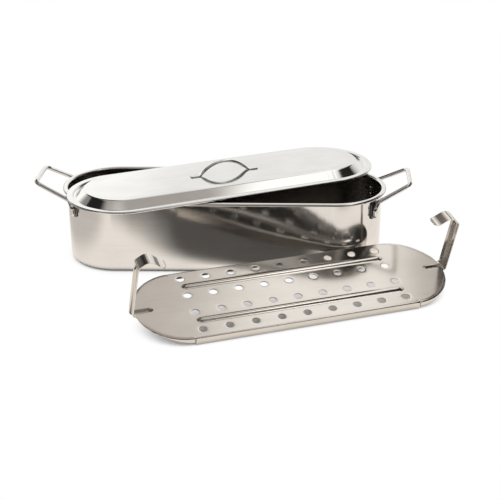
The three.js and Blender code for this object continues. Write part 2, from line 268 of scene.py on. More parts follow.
class Strand:
    """A socket in a node tree that can be used in an expression."""

    def __init__(self, tree, socket=None):
        self.tree = tree
        self.socket = socket

    def node(self, kind, settings=(), sockets=(), output=0):
        """A node of a kind: its settings come first, then the values or strands of its sockets."""
        made = self.tree.nodes.new(kind)
        for name, value in dict(settings).items():
            setattr(made, name, value)
        for name, value in dict(sockets).items():
            if isinstance(value, Strand):
                self.tree.links.new(value.socket, made.inputs[name])
            else:
                made.inputs[name].default_value = value
        return Strand(self.tree, made.outputs[output] if made.outputs else None)

    def axes(self, place):
        """The X, Y and Z of a place."""
        split = self.node("ShaderNodeSeparateXYZ", sockets={0: place}).socket.node
        return [Strand(self.tree, socket) for socket in split.outputs]

    def math(self, operation, first, second=0):
        return self.node("ShaderNodeMath", {"operation": operation}, {0: first, 1: second})

    def __add__(self, other):
        return self.math("ADD", self, other)

    def __sub__(self, other):
        return self.math("SUBTRACT", self, other)

    def __rsub__(self, other):
        return self.math("SUBTRACT", other, self)

    def __mul__(self, other):
        return self.math("MULTIPLY", self, other)

    def __truediv__(self, other):
        return self.math("DIVIDE", self, other)

    __radd__ = __add__
    __rmul__ = __mul__

    def between(self, low, high):
        """0 below low, 1 above high, and smooth between them."""
        settings = {"interpolation_type": "SMOOTHSTEP"}
        return self.node("ShaderNodeMapRange", settings, {0: self, 1: low, 2: high})

    def within(self, low, full, fading, high):
        """1 from full to fading, 0 below low and above high, and smooth between them."""
        return self.between(low, full) * (1 - self.between(fading, high))

    def blend(self, first, second):
        """The colour that lies between two colours, by this strand."""
        sockets = {0: self, 6: first, 7: second}
        return self.node("ShaderNodeMix", {"data_type": "RGBA"}, sockets, 2)

    def surface(self, shader):
        self.node("ShaderNodeOutputMaterial", sockets={"Surface": shader})


def new_tree(name):
    material = bpy.data.materials.new(name)
    material.use_nodes = True
    material.node_tree.nodes.clear()
    return material, Strand(material.node_tree)


def shaded(colour, share):
    """A lighter or darker colour."""
    return (*[min(1, channel * share) for channel in colour], 1)


def noise(strand, place, scale, detail, seed):
    """Noise along the sheet's own grain, with so many waves a metre each way."""
    spread = {"Vector": place, "Scale": (*scale, 1), "Location": (seed, seed * 0.37, 0)}
    mapped = strand.node("ShaderNodeMapping", sockets=spread)
    return strand.node("ShaderNodeTexNoise", sockets={"Vector": mapped, "Scale": 1, "Detail": detail})


def bare_metal(strand, tone, dull, height):
    """Metal of a tone and a dullness, with the height of its face in metres."""
    bump = strand.node("ShaderNodeBump", sockets={"Height": height, "Distance": 1.0})
    strand.surface(strand.node("ShaderNodeBsdfPrincipled", sockets={
        "Base Color": tone, "Roughness": dull, "Metallic": 1, "Normal": bump,
    }))


def brushed_steel(name, colour, rough, grain, depth, wave=1.2e-4, streak=0.03, seed=0.0, inner=None):
    """Rolled sheet steel: fine drawn lines, dull streaks, faint smudges and a slightly uneven face.
    Further across the sheet than inner, inside the pan, it is duller and has painted shade, a darker tint."""
    material, strand = new_tree(name)
    place = strand.node("ShaderNodeUVMap", {"uv_map": GRAIN})
    lines = noise(strand, place, grain, 2, seed)
    streaks = noise(strand, place, (grain[0] * 0.4, grain[1] * 0.12), 2, seed + 3.1)
    smudges = noise(strand, place, SMUDGE_WAVES, 3, seed + 7.7)
    swell = noise(strand, place, SWELL_WAVES, 0, seed + 11.3)
    cloudy = (streaks * 0.25 + smudges * 0.75).between(0.3, 0.7)
    tone = cloudy.blend(shaded(colour, 0.95), shaded(colour, 1.04))
    dull = streaks * streak + smudges * SMUDGE + (rough - SMUDGE / 2 - streak / 2)
    if inner:
        # Inside the pan: painted shade, a darker tint, and duller steel
        inside = strand.axes(place)[1].between(inner, inner + INSIDE_EASE)
        tone = inside.blend(tone, INSIDE_SHADE_TINT)
        dull = dull + inside * INSIDE_DULL
    bare_metal(strand, tone, dull, lines * depth + swell * wave)
    return material


def polished_steel(name, colour, rough, seed=0.0):
    """Drawn and tumbled steel: nearly a mirror, with fine pits and a little haze."""
    material, strand = new_tree(name)
    place = strand.node("ShaderNodeTexCoord", output="Object")
    haze = noise(strand, place, HAZE_WAVES, 3, seed)
    pits = noise(strand, place, PIT_WAVES, 2, seed + 2.3)
    tone = haze.between(0.35, 0.65).blend(shaded(colour, 0.92), shaded(colour, 1))
    haze_high, pit_high = 4e-5, 2e-6
    dull = haze * SMUDGE + (rough - SMUDGE / 2)
    bare_metal(strand, tone, dull, haze * haze_high + pits * pit_high)
    return material


# Node trees that shape

class ShapeTree(Strand):
    """A geometry tree with named inputs, the steel among them."""

    def __init__(self, name, inputs):
        super().__init__(bpy.data.node_groups.new(name, "GeometryNodeTree"))
        sockets = self.tree.interface
        sockets.new_socket("Geometry", in_out="OUTPUT", socket_type="NodeSocketGeometry")
        kinds = {"Geometry": "Geometry", **inputs, "Steel": "Material"}
        self.keys = {
            label: sockets.new_socket(label, in_out="INPUT", socket_type=f"NodeSocket{kind}").identifier
            for label, kind in kinds.items()
        }
        source = self.tree.nodes.new("NodeGroupInput")
        self.given = {label: Strand(self.tree, source.outputs[label]) for label in kinds}

    def ends_with(self, geometry):
        real = self.node("GeometryNodeRealizeInstances", sockets={0: geometry})
        dressed = self.node("GeometryNodeSetMaterial", sockets={0: real, "Material": self.given["Steel"]})
        self.tree.links.new(dressed.socket, self.tree.nodes.new("NodeGroupOutput").inputs[0])

    def run_on(self, piece, values):
        """The plain mesh that the tree makes from a piece, which goes."""
        modifier = piece.modifiers.new(self.tree.name, "NODES")
        modifier.node_group = self.tree
        for label, value in values.items():
            modifier[self.keys[label]] = value
        bpy.context.view_layer.update()
        graph = bpy.context.evaluated_depsgraph_get()
        mesh = bpy.data.meshes.new_from_object(piece.evaluated_get(graph), depsgraph=graph)
        piece.modifiers.remove(modifier)
        bpy.data.objects.remove(piece)
        return mesh


def wire_tree():
    """Runs round wire along a path and rounds off both its ends."""
    slimmest = 0.3
    tree = ShapeTree("Wire along a path", {"Radius": "Float", "Sides": "Int"})
    path = tree.node("GeometryNodeMeshToCurve", sockets={"Mesh": tree.given["Geometry"]})
    travelled = tree.node("GeometryNodeSplineParameter", output="Length")
    whole = tree.node("GeometryNodeCurveLength", sockets={"Curve": path})
    near_end = tree.math("MINIMUM", travelled, whole - travelled)
    off = 1 - tree.math("MINIMUM", near_end / tree.given["Radius"], 1)
    width = tree.math("SQRT", 1 - off * off)
    ring = tree.node("GeometryNodeCurvePrimitiveCircle", sockets={
        "Resolution": tree.given["Sides"], "Radius": tree.given["Radius"],
    })
    tree.ends_with(tree.node("GeometryNodeCurveToMesh", sockets={
        "Curve": path, "Profile Curve": ring, "Fill Caps": True,
        "Scale": tree.math("MAXIMUM", width, slimmest),
    }))
    return tree


def seat_tree():
    """Puts a sample rivet on each seat, its head turned outwards."""
    tree = ShapeTree("Rivets on seats", {"Rivet": "Object"})
    way = tree.node("GeometryNodeInputNamedAttribute", {"data_type": "FLOAT_VECTOR"}, {"Name": OUTWARD})
    turned = tree.node("FunctionNodeAlignRotationToVector", {"axis": "Z"}, {"Vector": way})
    shape = tree.node("GeometryNodeObjectInfo", sockets={"Object": tree.given["Rivet"]}, output="Geometry")
    tree.ends_with(tree.node("GeometryNodeInstanceOnPoints", sockets={
        "Points": tree.given["Geometry"], "Instance": shape, "Rotation": turned,
    }))
    return tree


def punch_tree():
    """Cuts a grid of round holes through a sheet."""
    sides, depth = 40, 0.012
    tree = ShapeTree("Drain holes", {
        "Columns": "Int", "Rows": "Int", "Length": "Float", "Breadth": "Float", "Hole radius": "Float",
    })
    given = tree.given
    grid = tree.node("GeometryNodeMeshGrid", sockets={
        "Size X": given["Length"], "Size Y": given["Breadth"],
        "Vertices X": given["Columns"], "Vertices Y": given["Rows"],
    })
    punch = tree.node("GeometryNodeMeshCylinder", sockets={
        "Vertices": sides, "Radius": given["Hole radius"], "Depth": depth,
    })
    punches = tree.node("GeometryNodeInstanceOnPoints", sockets={"Points": grid, "Instance": punch})
    real = tree.node("GeometryNodeRealizeInstances", sockets={0: punches})
    tree.ends_with(tree.node("GeometryNodeMeshBoolean", {"operation": "DIFFERENCE", "solver": "EXACT"}, {
        "Mesh 1": given["Geometry"], "Mesh 2": real,
    }))
    return tree


# Shapes

def travel(line):
    """How far along a line each of its points lies."""
    return np.concatenate([[0], np.cumsum(np.linalg.norm(np.diff(line, axis=0), axis=1))])


def evened(line, spacing):
    """The same line with its points at even distances."""
    run = travel(line)
    places = np.linspace(0, run[-1], max(2, int(run[-1] / spacing)))
    return np.stack([np.interp(places, run, line[:, axis]) for axis in range(line.shape[1])], 1)


def rounded(corners, steps=8):
    """The points of a bent line. Each corner is a point and the radius of its bend."""
    places = [np.array(point, float) for point, _ in corners]
    line = [places[0]]
    for index in range(1, len(places) - 1):
        radius = corners[index][1]
        before = places[index] - places[index - 1]
        after = places[index + 1] - places[index]
        before /= np.linalg.norm(before)
        after /= np.linalg.norm(after)
        bend = math.acos(max(-1, min(1, float(before @ after))))
        if radius == 0 or bend < 1e-6:
            line.append(places[index])
            continue
        aside = after - before * (before @ after)
        aside /= np.linalg.norm(aside)
        start = places[index] - before * radius * math.tan(bend / 2)
        for step in range(steps + 1):
            angle = bend * step / steps
            line.append(start + radius * (before * math.sin(angle) + aside * (1 - math.cos(angle))))
    line.append(places[-1])
    return np.array(line)


def moved_aside(line, distance):
    """A flat line moved to its right, with mitred corners."""
    along = np.diff(line, axis=0)
    along /= np.linalg.norm(along, axis=1)[:, None]
    right = np.stack([along[:, 1], -along[:, 0]], 1)
    first = np.vstack([right[:1], right])
    second = np.vstack([right, right[-1:]])
    mitre = (first + second) / (1 + (first * second).sum(1))[:, None]
    return line + mitre * distance


def oblong(long, broad, arc_steps=48, straight_steps=12):
    """The points of an oblong outline."""
    radius = broad / 2
    reach = long / 2 - radius
    points = []
    for side in (1, -1):
        for step in range(arc_steps):
            angle = math.pi * (step / arc_steps - 0.5)
            points.append((side * (reach + radius * math.cos(angle)), side * radius * math.sin(angle)))
        for step in range(straight_steps):
            points.append((side * reach * (1 - 2 * step / straight_steps), side * radius))
    return np.array(points)


def soft_step(values, low, high):
    """0 below low, 1 above high, and smooth between them."""
    share = np.clip((values - low) / (high - low), 0, 1)
    return share * share * (3 - 2 * share)


def ring_faces(rings, count):
    """Faces that join closed rings of so many points, each to the next."""
    return [(ring * count + step, ring * count + (step + 1) % count,
             (ring + 1) * count + (step + 1) % count, (ring + 1) * count + step)
            for ring in range(rings - 1) for step in range(count)]


@contextlib.contextmanager
def reworked(mesh):
    """Opens a mesh for bmesh, and puts the result back."""
    shape = bmesh.new()
    shape.from_mesh(mesh)
    yield shape
    shape.to_mesh(mesh)
    shape.free()


def welded(mesh):
    with reworked(mesh) as shape:
        bmesh.ops.remove_doubles(shape, verts=shape.verts, dist=1e-6)


def outward(mesh):
    with reworked(mesh) as shape:
        bmesh.ops.recalc_face_normals(shape, faces=shape.faces)


def smooth(mesh, degrees=35):
    mesh.polygons.foreach_set("use_smooth", [True] * len(mesh.polygons))
    mesh.set_sharp_from_angle(angle=math.radians(degrees))


def new_mesh(name, points, faces, grain):
    """A mesh whose grain map holds where each point lies along and across the sheet."""
    mesh = bpy.data.meshes.new(name)
    mesh.from_pydata([tuple(point) for point in points], [], faces)
    layer = mesh.uv_layers.new(name=GRAIN)
    corner_points = np.zeros(len(mesh.loops), int)
    mesh.loops.foreach_get("vertex_index", corner_points)
    layer.data.foreach_set("uv", np.asarray(grain, np.float32)[corner_points].ravel())
    mesh.validate()
    return mesh


def new_object(name, mesh, material):
    mesh.materials.clear()
    mesh.materials.append(material)
    piece = bpy.data.objects.new(name, mesh)
    bpy.context.scene.collection.objects.link(piece)
    return piece


def shown(name, mesh, finish, body, *nodes):
    """Shows a finished mesh in place of CAD nodes, riding on their body."""
    if not mesh.polygons:
        raise RuntimeError(f"{name} has no faces")
    piece = new_object(name, mesh, finish)
    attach(piece, body)
    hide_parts(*nodes)


def pressed_sheet(name, underside, thickness, long, broad):
    """A closed oblong pressing. The profile holds how far inside the outline, and how high."""
    profile = np.vstack([underside, moved_aside(underside, thickness)[::-1]])
    outline = oblong(long, broad)
    around = travel(outline)
    points, grain = [], []
    for (inset, height), travelled in zip(profile, travel(profile)):
        points.extend((x, y, height) for x, y in oblong(long - 2 * inset, broad - 2 * inset))
        grain.extend((distance, travelled) for distance in around)
    faces = ring_faces(len(profile), len(outline))
    for (inset, height), way in ((profile[0], -1), (profile[-1], 1)):
        cap = oblong(long - 2 * inset, broad - 2 * inset)
        faces.append(tuple(range(len(points), len(points) + len(cap)))[::way])
        points.extend((x, y, height) for x, y in cap)
        grain.extend(cap)
    mesh = new_mesh(name, points, faces, grain)
    welded(mesh)
    return mesh


def swept(lines, radius, sides, finish, name):
    """Round wire along each line, made by the wire tree."""
    points, edges = [], []
    for line in lines:
        edges += [(len(points) + k, len(points) + k + 1) for k in range(len(line) - 1)]
        points += [tuple(point) for point in line]
    path = bpy.data.meshes.new(name)
    path.from_pydata(points, edges, [])
    values = {"Radius": radius, "Sides": sides, "Steel": finish}
    return wire_tree().run_on(new_object(name, path, finish), values)


# Pan

def build_pan(pan, looks):
    inset = pan.rim_reach
    corner = pan.base_corner + pan.sheet
    step_foot, step_top, step_bend, level = 0.001, 0.004, 0.003, 0.008
    up_the_wall = np.linspace(0.12, 0.94, 15)
    underside = rounded([
        ((inset + corner + level, pan.base_step), 0),
        ((inset + corner + step_top, pan.base_step), step_bend),
        ((inset + corner + step_foot, 0), step_bend),
        ((inset, 0), pan.base_corner),
        *[((inset, pan.high * share), 0) for share in up_the_wall],
        ((inset, pan.high - pan.sheet), pan.rim_bend),
        ((pan.sheet, pan.high - pan.sheet), pan.hem_bend),
        ((pan.sheet, pan.high - pan.hem_drop), 0),
    ])
    mesh = pressed_sheet("pan_pressing", underside, pan.sheet, pan.long, pan.broad)
    draw_in(mesh, pan)
    smooth(mesh)
    # Where the pan's inside, with its painted shade, starts along the profile
    inner = travel(underside)[-1] + pan.hem_drop + pan.rim_reach + pan.sheet
    finish = brushed_steel("pan steel", looks.pan, looks.pan_rough, (22, 1900), 5e-6, inner=inner)
    shown("pan_pressing", mesh, finish, "pan", "pan_body")


def draw_in(mesh, pan):
    """Draws the long walls in at half their height, as a thin pressed wall is."""
    hollow_ends, hollow_starts = 0.08, 0.16
    points = np.zeros(len(mesh.vertices) * 3)
    mesh.vertices.foreach_get("co", points)
    x, y, z = points.reshape(-1, 3).T
    upright = np.sin(math.pi * np.clip(z / (pan.high - pan.hem_drop), 0, 1))
    long_wall = 1 - soft_step(np.abs(x), hollow_ends, hollow_starts)
    y -= np.sign(y) * (np.abs(y) > pan.broad / 4) * pan.hollow * upright * long_wall
    mesh.vertices.foreach_set("co", np.stack([x, y, z], 1).ravel())


class Wall:
    """Places on the pan's rounded ends, by the angle from the tip and the distance from the arc's middle."""

    def __init__(self, pan, handles, brackets):
        self.radius = pan.broad / 2 - pan.rim_reach
        self.middle = pan.long / 2 - pan.broad / 2
        self.inner = self.radius + brackets.gap
        self.outer = self.inner + brackets.sheet
        self.wire = self.outer + brackets.gap + handles.wire / 2
        self.foot = math.asin(handles.foot / 2 / self.wire)
        self.shoulder = math.asin(handles.shoulder / 2 / self.wire)
        self.end = self.foot + brackets.margin / self.outer
        self.start = self.end - brackets.broad / self.outer
        self.rivet = self.start + brackets.rivet_margin / self.outer

    def place(self, side, depth, angle, distance, height):
        x = side * (self.middle + distance * math.cos(angle))
        return Vector((x, depth * distance * math.sin(angle), height))


def build_wires(pan, handles, brackets, looks):
    wall = Wall(pan, handles, brackets)
    finish = polished_steel("handle wire", looks.wire, looks.wire_rough)
    for name, side in SIDES.items():
        bar = side * (pan.long / 2 + handles.reach)

        def leg(depth):
            return [
                (wall.place(side, depth, wall.foot, wall.wire, handles.foot_bottom), 0),
                (wall.place(side, depth, wall.foot, wall.wire, handles.foot_top), handles.foot_bend),
                (wall.place(side, depth, wall.shoulder, wall.wire, handles.shoulder_high),
                 handles.shoulder_bend),
                (Vector((bar + depth * handles.skew, depth * handles.bar / 2, handles.high)),
                 handles.bar_corner),
            ]

        line = evened(rounded(leg(1) + leg(-1)[::-1], steps=12), spacing=0.0012)
        mesh = swept([line], handles.wire / 2, 24, finish, f"wire_{name}")
        smooth(mesh, degrees=60)
        shown(f"wire_handle_{name}", mesh, finish, "pan", f"pan_handle_{name}")


def build_brackets(pan, handles, brackets, looks):
    wall = Wall(pan, handles, brackets)
    rim = rounded_plate(brackets.broad / 2, (brackets.top - brackets.bottom) / 2, brackets.corner)
    middle = (wall.start + wall.end) / 2
    level = (brackets.top + brackets.bottom) / 2
    weld_radius, weld_sides = 0.0013, 12
    # The near-black bracket colour is painted shade
    finish = polished_steel("bracket steel", looks.bracket, 0.28, seed=15.0)
    whole = bmesh.new()
    seams, names = [], []
    for side_name, side in SIDES.items():
        for depth_name, depth in DEPTHS.items():
            def place(x, y, lift):
                return wall.place(side, depth, middle + x / wall.outer, wall.inner + lift, level + y)

            whole.from_mesh(plate_on_wall(rim, brackets.sheet, place))
            seams.append(weld_line(side, depth, wall, handles))
            names.append(f"bracket_{side_name}_{depth_name}")
    whole.from_mesh(swept(seams, weld_radius, weld_sides, finish, "welds"))
    mesh = bpy.data.meshes.new("handle_brackets")
    whole.to_mesh(mesh)
    whole.free()
    outward(mesh)
    smooth(mesh, degrees=40)
    shown("handle_brackets", mesh, finish, "pan", *names)


def rounded_plate(half_x, half_y, corner, steps=6):
    """The outline of a flat plate with rounded corners."""
    points = []
    for quarter, (x, y) in enumerate(((1, 1), (-1, 1), (-1, -1), (1, -1))):
        for step in range(steps + 1):
            angle = math.pi / 2 * (quarter + step / steps)
            points.append((x * (half_x - corner) + corner * math.cos(angle),
                           y * (half_y - corner) + corner * math.sin(angle)))
    return np.array(points)


def plate_on_wall(rim, thickness, place, edge=0.0003):
    """A plate with softened edges, wrapped on a wall by its place function."""
    points = [place(x - math.copysign(inset, x), y - math.copysign(inset, y), lift)
              for lift, inset in ((0, edge), (edge, 0), (thickness - edge, 0), (thickness, edge))
              for x, y in rim]
    count = len(rim)
    faces = ring_faces(4, count)
    for start in (0, 3 * count):
        faces += [(start + step, start + step + 1, start + count - 2 - step, start + count - 1 - step)
                  for step in range(count // 2 - 1)]
    return new_mesh("bracket", points, faces, [(point.x + point.y, point.z) for point in points])


def weld_line(side, depth, wall, handles):
    """Where the weld runs that joins a foot to its bracket, a little uneven."""
    sunk, uneven, waves, spacing = 0.0002, 0.0002, 1.9, 0.001
    start, stop = handles.foot_bottom + 0.0015, handles.foot_top - 0.003
    close = wall.wire - handles.wire / 2 + sunk
    heights = np.arange(start, stop, spacing)
    wobble = np.sin(np.arange(len(heights)) * waves) * uneven / close
    return [wall.place(side, depth, wall.foot + turned, close, high) for turned, high in zip(wobble, heights)]


def rivet_shape(brackets, pan):
    """One rivet along Z, its end inside the pan below zero and its head above the stack."""
    sides = 24
    tail_flat, head_flat = 0.35, 0.25
    gap = brackets.gap
    stack = pan.sheet + 2 * gap + brackets.sheet
    profile = [(0, -gap - brackets.tail_high)]
    profile += [(brackets.tail / 2 * math.sin(angle), -gap - brackets.tail_high * math.cos(angle))
                for angle in np.linspace(tail_flat, math.pi / 2, 6)]
    profile += [(brackets.shank / 2, -gap), (brackets.shank / 2, stack)]
    profile += [(brackets.head / 2 * math.cos(angle), stack + brackets.head_high * math.sin(angle))
                for angle in np.linspace(0, math.pi / 2 - head_flat, 8)]
    profile += [(0, stack + brackets.head_high)]
    turns = [2 * math.pi * step / sides for step in range(sides)]
    points = [(radius * math.cos(angle), radius * math.sin(angle), z)
              for radius, z in profile for angle in turns]
    mesh = new_mesh("rivet", points, ring_faces(len(profile), sides), [(x, y) for x, y, _ in points])
    welded(mesh)
    outward(mesh)
    smooth(mesh, degrees=50)
    return mesh


def build_rivets(pan, handles, brackets, looks):
    wall = Wall(pan, handles, brackets)
    levels = {"upper": brackets.rivet_upper, "lower": brackets.rivet_lower}
    seats, ways, names = [], [], []
    for side_name, side in SIDES.items():
        for depth_name, depth in DEPTHS.items():
            way = wall.place(side, depth, wall.rivet, 1, 0) - wall.place(side, depth, wall.rivet, 0, 0)
            for level_name, level in levels.items():
                seats.append(wall.place(side, depth, wall.rivet, wall.radius - pan.sheet, level))
                ways.append(way)
                names.append(f"rivet_{side_name}_{depth_name}_{level_name}")
    mesh = bpy.data.meshes.new("rivet_seats")
    mesh.from_pydata(seats, [], [])
    attribute = mesh.attributes.new(OUTWARD, "FLOAT_VECTOR", "POINT")
    attribute.data.foreach_set("vector", np.array(ways, np.float32).ravel())
    finish = polished_steel("rivet steel", looks.rivet, 0.14, seed=4.0)
    seat_piece = new_object("rivet_seats", mesh, finish)
    sample = new_object("rivet_sample", rivet_shape(brackets, pan), finish)
    whole = seat_tree().run_on(seat_piece, {"Rivet": sample, "Steel": finish})
    bpy.data.objects.remove(sample)
    shown("bracket_rivets", whole, finish, "pan", *names)


# Lid

def lid_place(pan, lid, gap):
    moved = Matrix.Translation((lid.shift_x, lid.shift_y, pan.high + gap))
    return moved @ Matrix.Rotation(lid.angle, 4, "Z")


def crown_top(lid):
    return lid.groove_deep + lid.sheet + lid.crown_rise


def build_lid(pan, lid, brackets, looks):
    under_crown = crown_top(lid) - lid.sheet
    groove = lid.flange + lid.groove_slant
    underside = rounded([
        ((lid.crown_inset + 3 * lid.crown_bend, under_crown), 0),
        ((lid.crown_inset, under_crown), lid.crown_bend),
        ((groove + lid.groove, 0), lid.groove_bend),
        ((groove, 0), lid.groove_bend),
        ((lid.flange, lid.groove_deep), lid.groove_bend),
        ((lid.sheet, lid.groove_deep), lid.lip_bend),
        ((lid.sheet, lid.groove_deep - lid.lip_drop), 0),
    ], steps=10)
    mesh = pressed_sheet("lid_pressing", underside, lid.sheet, pan.long, pan.broad)
    mesh.transform(lid_place(pan, lid, brackets.gap))
    smooth(mesh)
    finish = brushed_steel("lid steel", looks.lid, looks.lid_rough, (18, 2400), 2.5e-6, wave=9e-5,
                           streak=0.025, seed=21.0)
    shown("lid_pressing", mesh, finish, "lid", "lid_shell")


def build_lid_handle(pan, lid, brackets, looks):
    level = crown_top(lid) + lid.strap / 2
    foot, end = lid.arch / 2, lid.arch / 2 + lid.tab
    easing = 0.0025
    radius = (foot ** 2 + lid.arch_rise ** 2) / (2 * lid.arch_rise)
    sweep = math.asin(foot / radius)
    arch = [((radius * math.sin(angle), level + lid.arch_rise - radius * (1 - math.cos(angle))), 0)
            for angle in np.linspace(-sweep, sweep, 49)[3:-3]]
    tabs = [((-end, level), 0), ((-foot, level), easing), ((foot, level), easing), ((end, level), 0)]
    line = rounded(tabs[:2] + arch + tabs[2:])
    mesh = bent_strip(evened(line, spacing=0.0009), lid, corner=0.0022)
    mesh.transform(lid_place(pan, lid, brackets.gap))
    smooth(mesh)
    finish = polished_steel("strap steel", looks.wire, 0.07, seed=9.0)
    shown("lid_strap", mesh, finish, "lid", "lid_handle")


def bent_strip(centreline, lid, corner, sides=28):
    """The lid's handle in the XZ plane: flat and broad at its tabs, slim and round on its arch."""
    def squared(value, power):
        return math.copysign(abs(value) ** power, value)

    run = travel(centreline)
    outward_way = moved_aside(centreline, -1) - centreline
    arch_starts, arch_full = lid.tab * 0.75, lid.tab * 1.7
    tab_power, arch_power = 0.18, 0.98
    points, grain = [], []
    for place, way, travelled in zip(centreline, outward_way, run):
        near_end = min(travelled, run[-1] - travelled)
        arched = float(soft_step(near_end, arch_starts, arch_full))
        half = (lid.strap_broad + (lid.strap_slim - lid.strap_broad) * arched) / 2
        thick = lid.strap + (lid.strap_round - lid.strap) * arched
        if near_end < corner:
            half -= corner - math.sqrt(corner ** 2 - (corner - near_end) ** 2)
        power = tab_power + (arch_power - tab_power) * arched
        for angle in (np.arange(sides) + 0.5) * 2 * math.pi / sides:
            lift = (lid.strap - thick + thick * squared(math.sin(angle), power)) / 2
            points.append((place[0] + way[0] * lift, half * squared(math.cos(angle), power),
                           place[1] + way[1] * lift))
            grain.append((travelled, half * angle))
    last = (len(centreline) - 1) * sides
    faces = ring_faces(len(centreline), sides)
    faces += [tuple(range(sides)), tuple(range(last, last + sides))]
    mesh = new_mesh("lid_strap", points, faces, grain)
    outward(mesh)
    return mesh


# Rack

def hook_line(rack, side):
    """How a hook's strip runs from the plate: places out and up, from the plate's tip."""
    fold = np.array([rack.fold_start + rack.fold, 0.0])
    lean = rack.lean * side

    def leaning(inward, rise):
        out, up = -inward, rise
        turned = (out * math.cos(lean) + up * math.sin(lean), up * math.cos(lean) - out * math.sin(lean))
        return fold + turned

    rise = rack.strip_rise
    corners = [
        (np.zeros(2), 0),
        (fold, rack.fold),
        (leaning(0, rise), rack.fold),
        (leaning(rack.crest_in, rise + rack.crest_up), rack.crest_bend),
        (leaning(rack.dip_in, rise - rack.dip_down), rack.dip_bend),
        (leaning(rack.tip_in, rise - rack.tip_down), 0),
    ]
    return rounded(corners, steps=16)


def bead(share):
    """The height of a pressed bead: 1 on its middle line, 0 from its edge on."""
    return (1 + np.cos(math.pi * np.clip(share, 0, 1))) / 2


class RackSheet:
    """The rack's flat blank, and how it is pressed and bent. Places on the blank are u along and v across."""

    # How close places lie on the plate, up the strips and where the beads run onto the strips
    SPACING = 0.004
    STRIP_SPACING = 0.003
    FOOT_SPACING = 0.0015
    # How far each ring lies from a hole's edge, how many places it has, and how broad the dished edge is
    RINGS = (-0.0015, 0.0001, 0.0004, 0.0008, 0.0013)
    RING_SIDES = 32
    DISH = 0.0012
    # A strip's neck as places out and aside, the rim's gap for it, its tip's corner and its bead's end
    NECK = ((-0.0002, 0.0012), (0.0012, 0.0003), (0.003, 0))
    NECK_LONG = 0.004
    NECK_GAP = 0.003
    STRIP_CORNER = 0.0065
    STRIP_BEAD_END = 0.004
    # The shares of the end lip between which it deepens, and turns down
    LIP_DEEPENS = (0.3, 1.0)
    LIP_TURNS = (0, 0.5)
    # The net over an end: how far it fans out to each side, how many spokes it has, and its rings
    FAN, SPOKES = 1.54, 90
    FAN_RINGS = np.linspace(0.08, 0.94, 14)
    PAST_FOLD = 0.03
    # How far down a long edge's flap its one line of places runs
    FLAP_LINE = 0.6

    def __init__(self, rack):
        self.rack = rack
        self.tip = rack.long / 2
        self.straight = self.tip - rack.end_reach
        self.half = rack.broad / 2
        self.bend = rack.edge_bend
        self.fold_v = self.half - rack.sheet / 2 - self.bend
        bend_run = self.bend * math.pi / 2
        self.edge_run = bend_run + rack.edge_drop - rack.sheet / 2 - self.bend
        self.lip_run = bend_run + rack.lip_drop - rack.sheet / 2 - self.bend
        self.tip_run = self.half - self.fold_v
        self.hooks = {side: hook_line(rack, side) for side in SIDES.values()}
        self.hook_runs = {side: travel(line) for side, line in self.hooks.items()}
        self.strip_places = {side: self.tip + divided(run, self.STRIP_SPACING)
                             for side, run in self.hook_runs.items()}
        self.holes = [(u, v) for u in self.grid(rack.columns) for v in self.grid(rack.rows)]

    def grid(self, count):
        return (np.arange(count) - (count - 1) / 2) * self.rack.pitch

    def end_place(self, share, theta):
        """A place on an end, by its angle from the tip and its share of the way out."""
        return (self.straight + self.rack.end_reach * share * math.cos(theta),
                self.half * share * math.sin(theta))

    def lip_share(self, theta):
        """How much lip the end has at an angle of its ellipse, from the tip: 1 at the slit, 0 further on."""
        over = 1 - (np.cos(theta) * self.rack.end_reach) / (self.rack.lip_reach + self.rack.slit)
        return np.clip(over, 0, 1)

    def end_outline(self, side, steps=60):
        """One end of the blank, from its front slit round the tip to its back slit."""
        low = math.acos(self.rack.slit / self.rack.end_reach)
        rim = []
        for theta in np.linspace(-low, low, steps):
            lip = float(soft_step(self.lip_share(theta), *self.LIP_DEEPENS))
            run = self.tip_run + (self.lip_run - self.tip_run) * lip
            rim.append(self.end_place((self.fold_v + run) / self.half, theta))
        # Half a strip: a soft neck where it leaves the rim, its long edge, and its rounded tip
        half, corner = self.rack.strip / 2, self.STRIP_CORNER
        clear = half + self.NECK_GAP
        end = self.tip + self.hook_runs[side][-1]
        neck = self.straight + self.rack.end_reach * math.sqrt(1 - (half / self.half) ** 2)
        strip = [(neck + out, half + aside) for out, aside in self.NECK]
        strip += [(u, half) for u in self.strip_places[side] if neck + self.NECK_LONG < u < end - corner]
        strip += [(end - corner * (1 - math.sin(angle)), half - corner * (1 - math.cos(angle)))
                  for angle in np.linspace(0, math.pi / 2, 6)]
        outline = [place for place in rim if place[1] < -clear]
        outline += [(u, -v) for u, v in strip] + strip[::-1]
        outline += [place for place in rim if place[1] > clear]
        return [(side * u, side * v) for u, v in outline]

    def blank(self):
        """The whole outline of the blank, its long edges' flaps and its four slits among it."""
        inner, outer = self.straight, self.straight + self.rack.slit
        fold, edge = self.fold_v, self.fold_v + self.edge_run
        whole = []
        for side in (1, -1):
            lead_in = [(-inner, -edge), (inner, -edge), (inner, -fold), (outer, -fold)]
            whole += [(side * u, side * v) for u, v in lead_in]
            whole += self.end_outline(side)
            whole += [(side * outer, side * fold), (side * inner, side * fold)]
        return divided(np.array(whole + whole[:1]), self.SPACING)[:-1]

    def lift(self, u, v):
        """How far the pressing raises each place above the plain sheet."""
        rack = self.rack
        reach = rack.bead_long / 2 - rack.bead / 2
        away = np.hypot(np.maximum(np.abs(u) - reach, 0), np.abs(v) - rack.pitch)
        rise = rack.bead_high * bead(away / (rack.bead / 2))
        start = self.tip - rack.hook_bead_reach + rack.hook_bead / 2
        stop = self.tip + rack.strip_rise - self.STRIP_BEAD_END
        past = np.maximum(start - np.abs(u), 0) + np.maximum(np.abs(u) - stop, 0)
        rise -= rack.hook_bead_high * bead(np.hypot(past, v) / (rack.hook_bead / 2))
        for hole_u, hole_v in self.holes:
            far = np.hypot(u - hole_u, v - hole_v) - rack.hole / 2
            rise -= rack.hole_dish * (1 - soft_step(far, 0, self.DISH))
        return rise

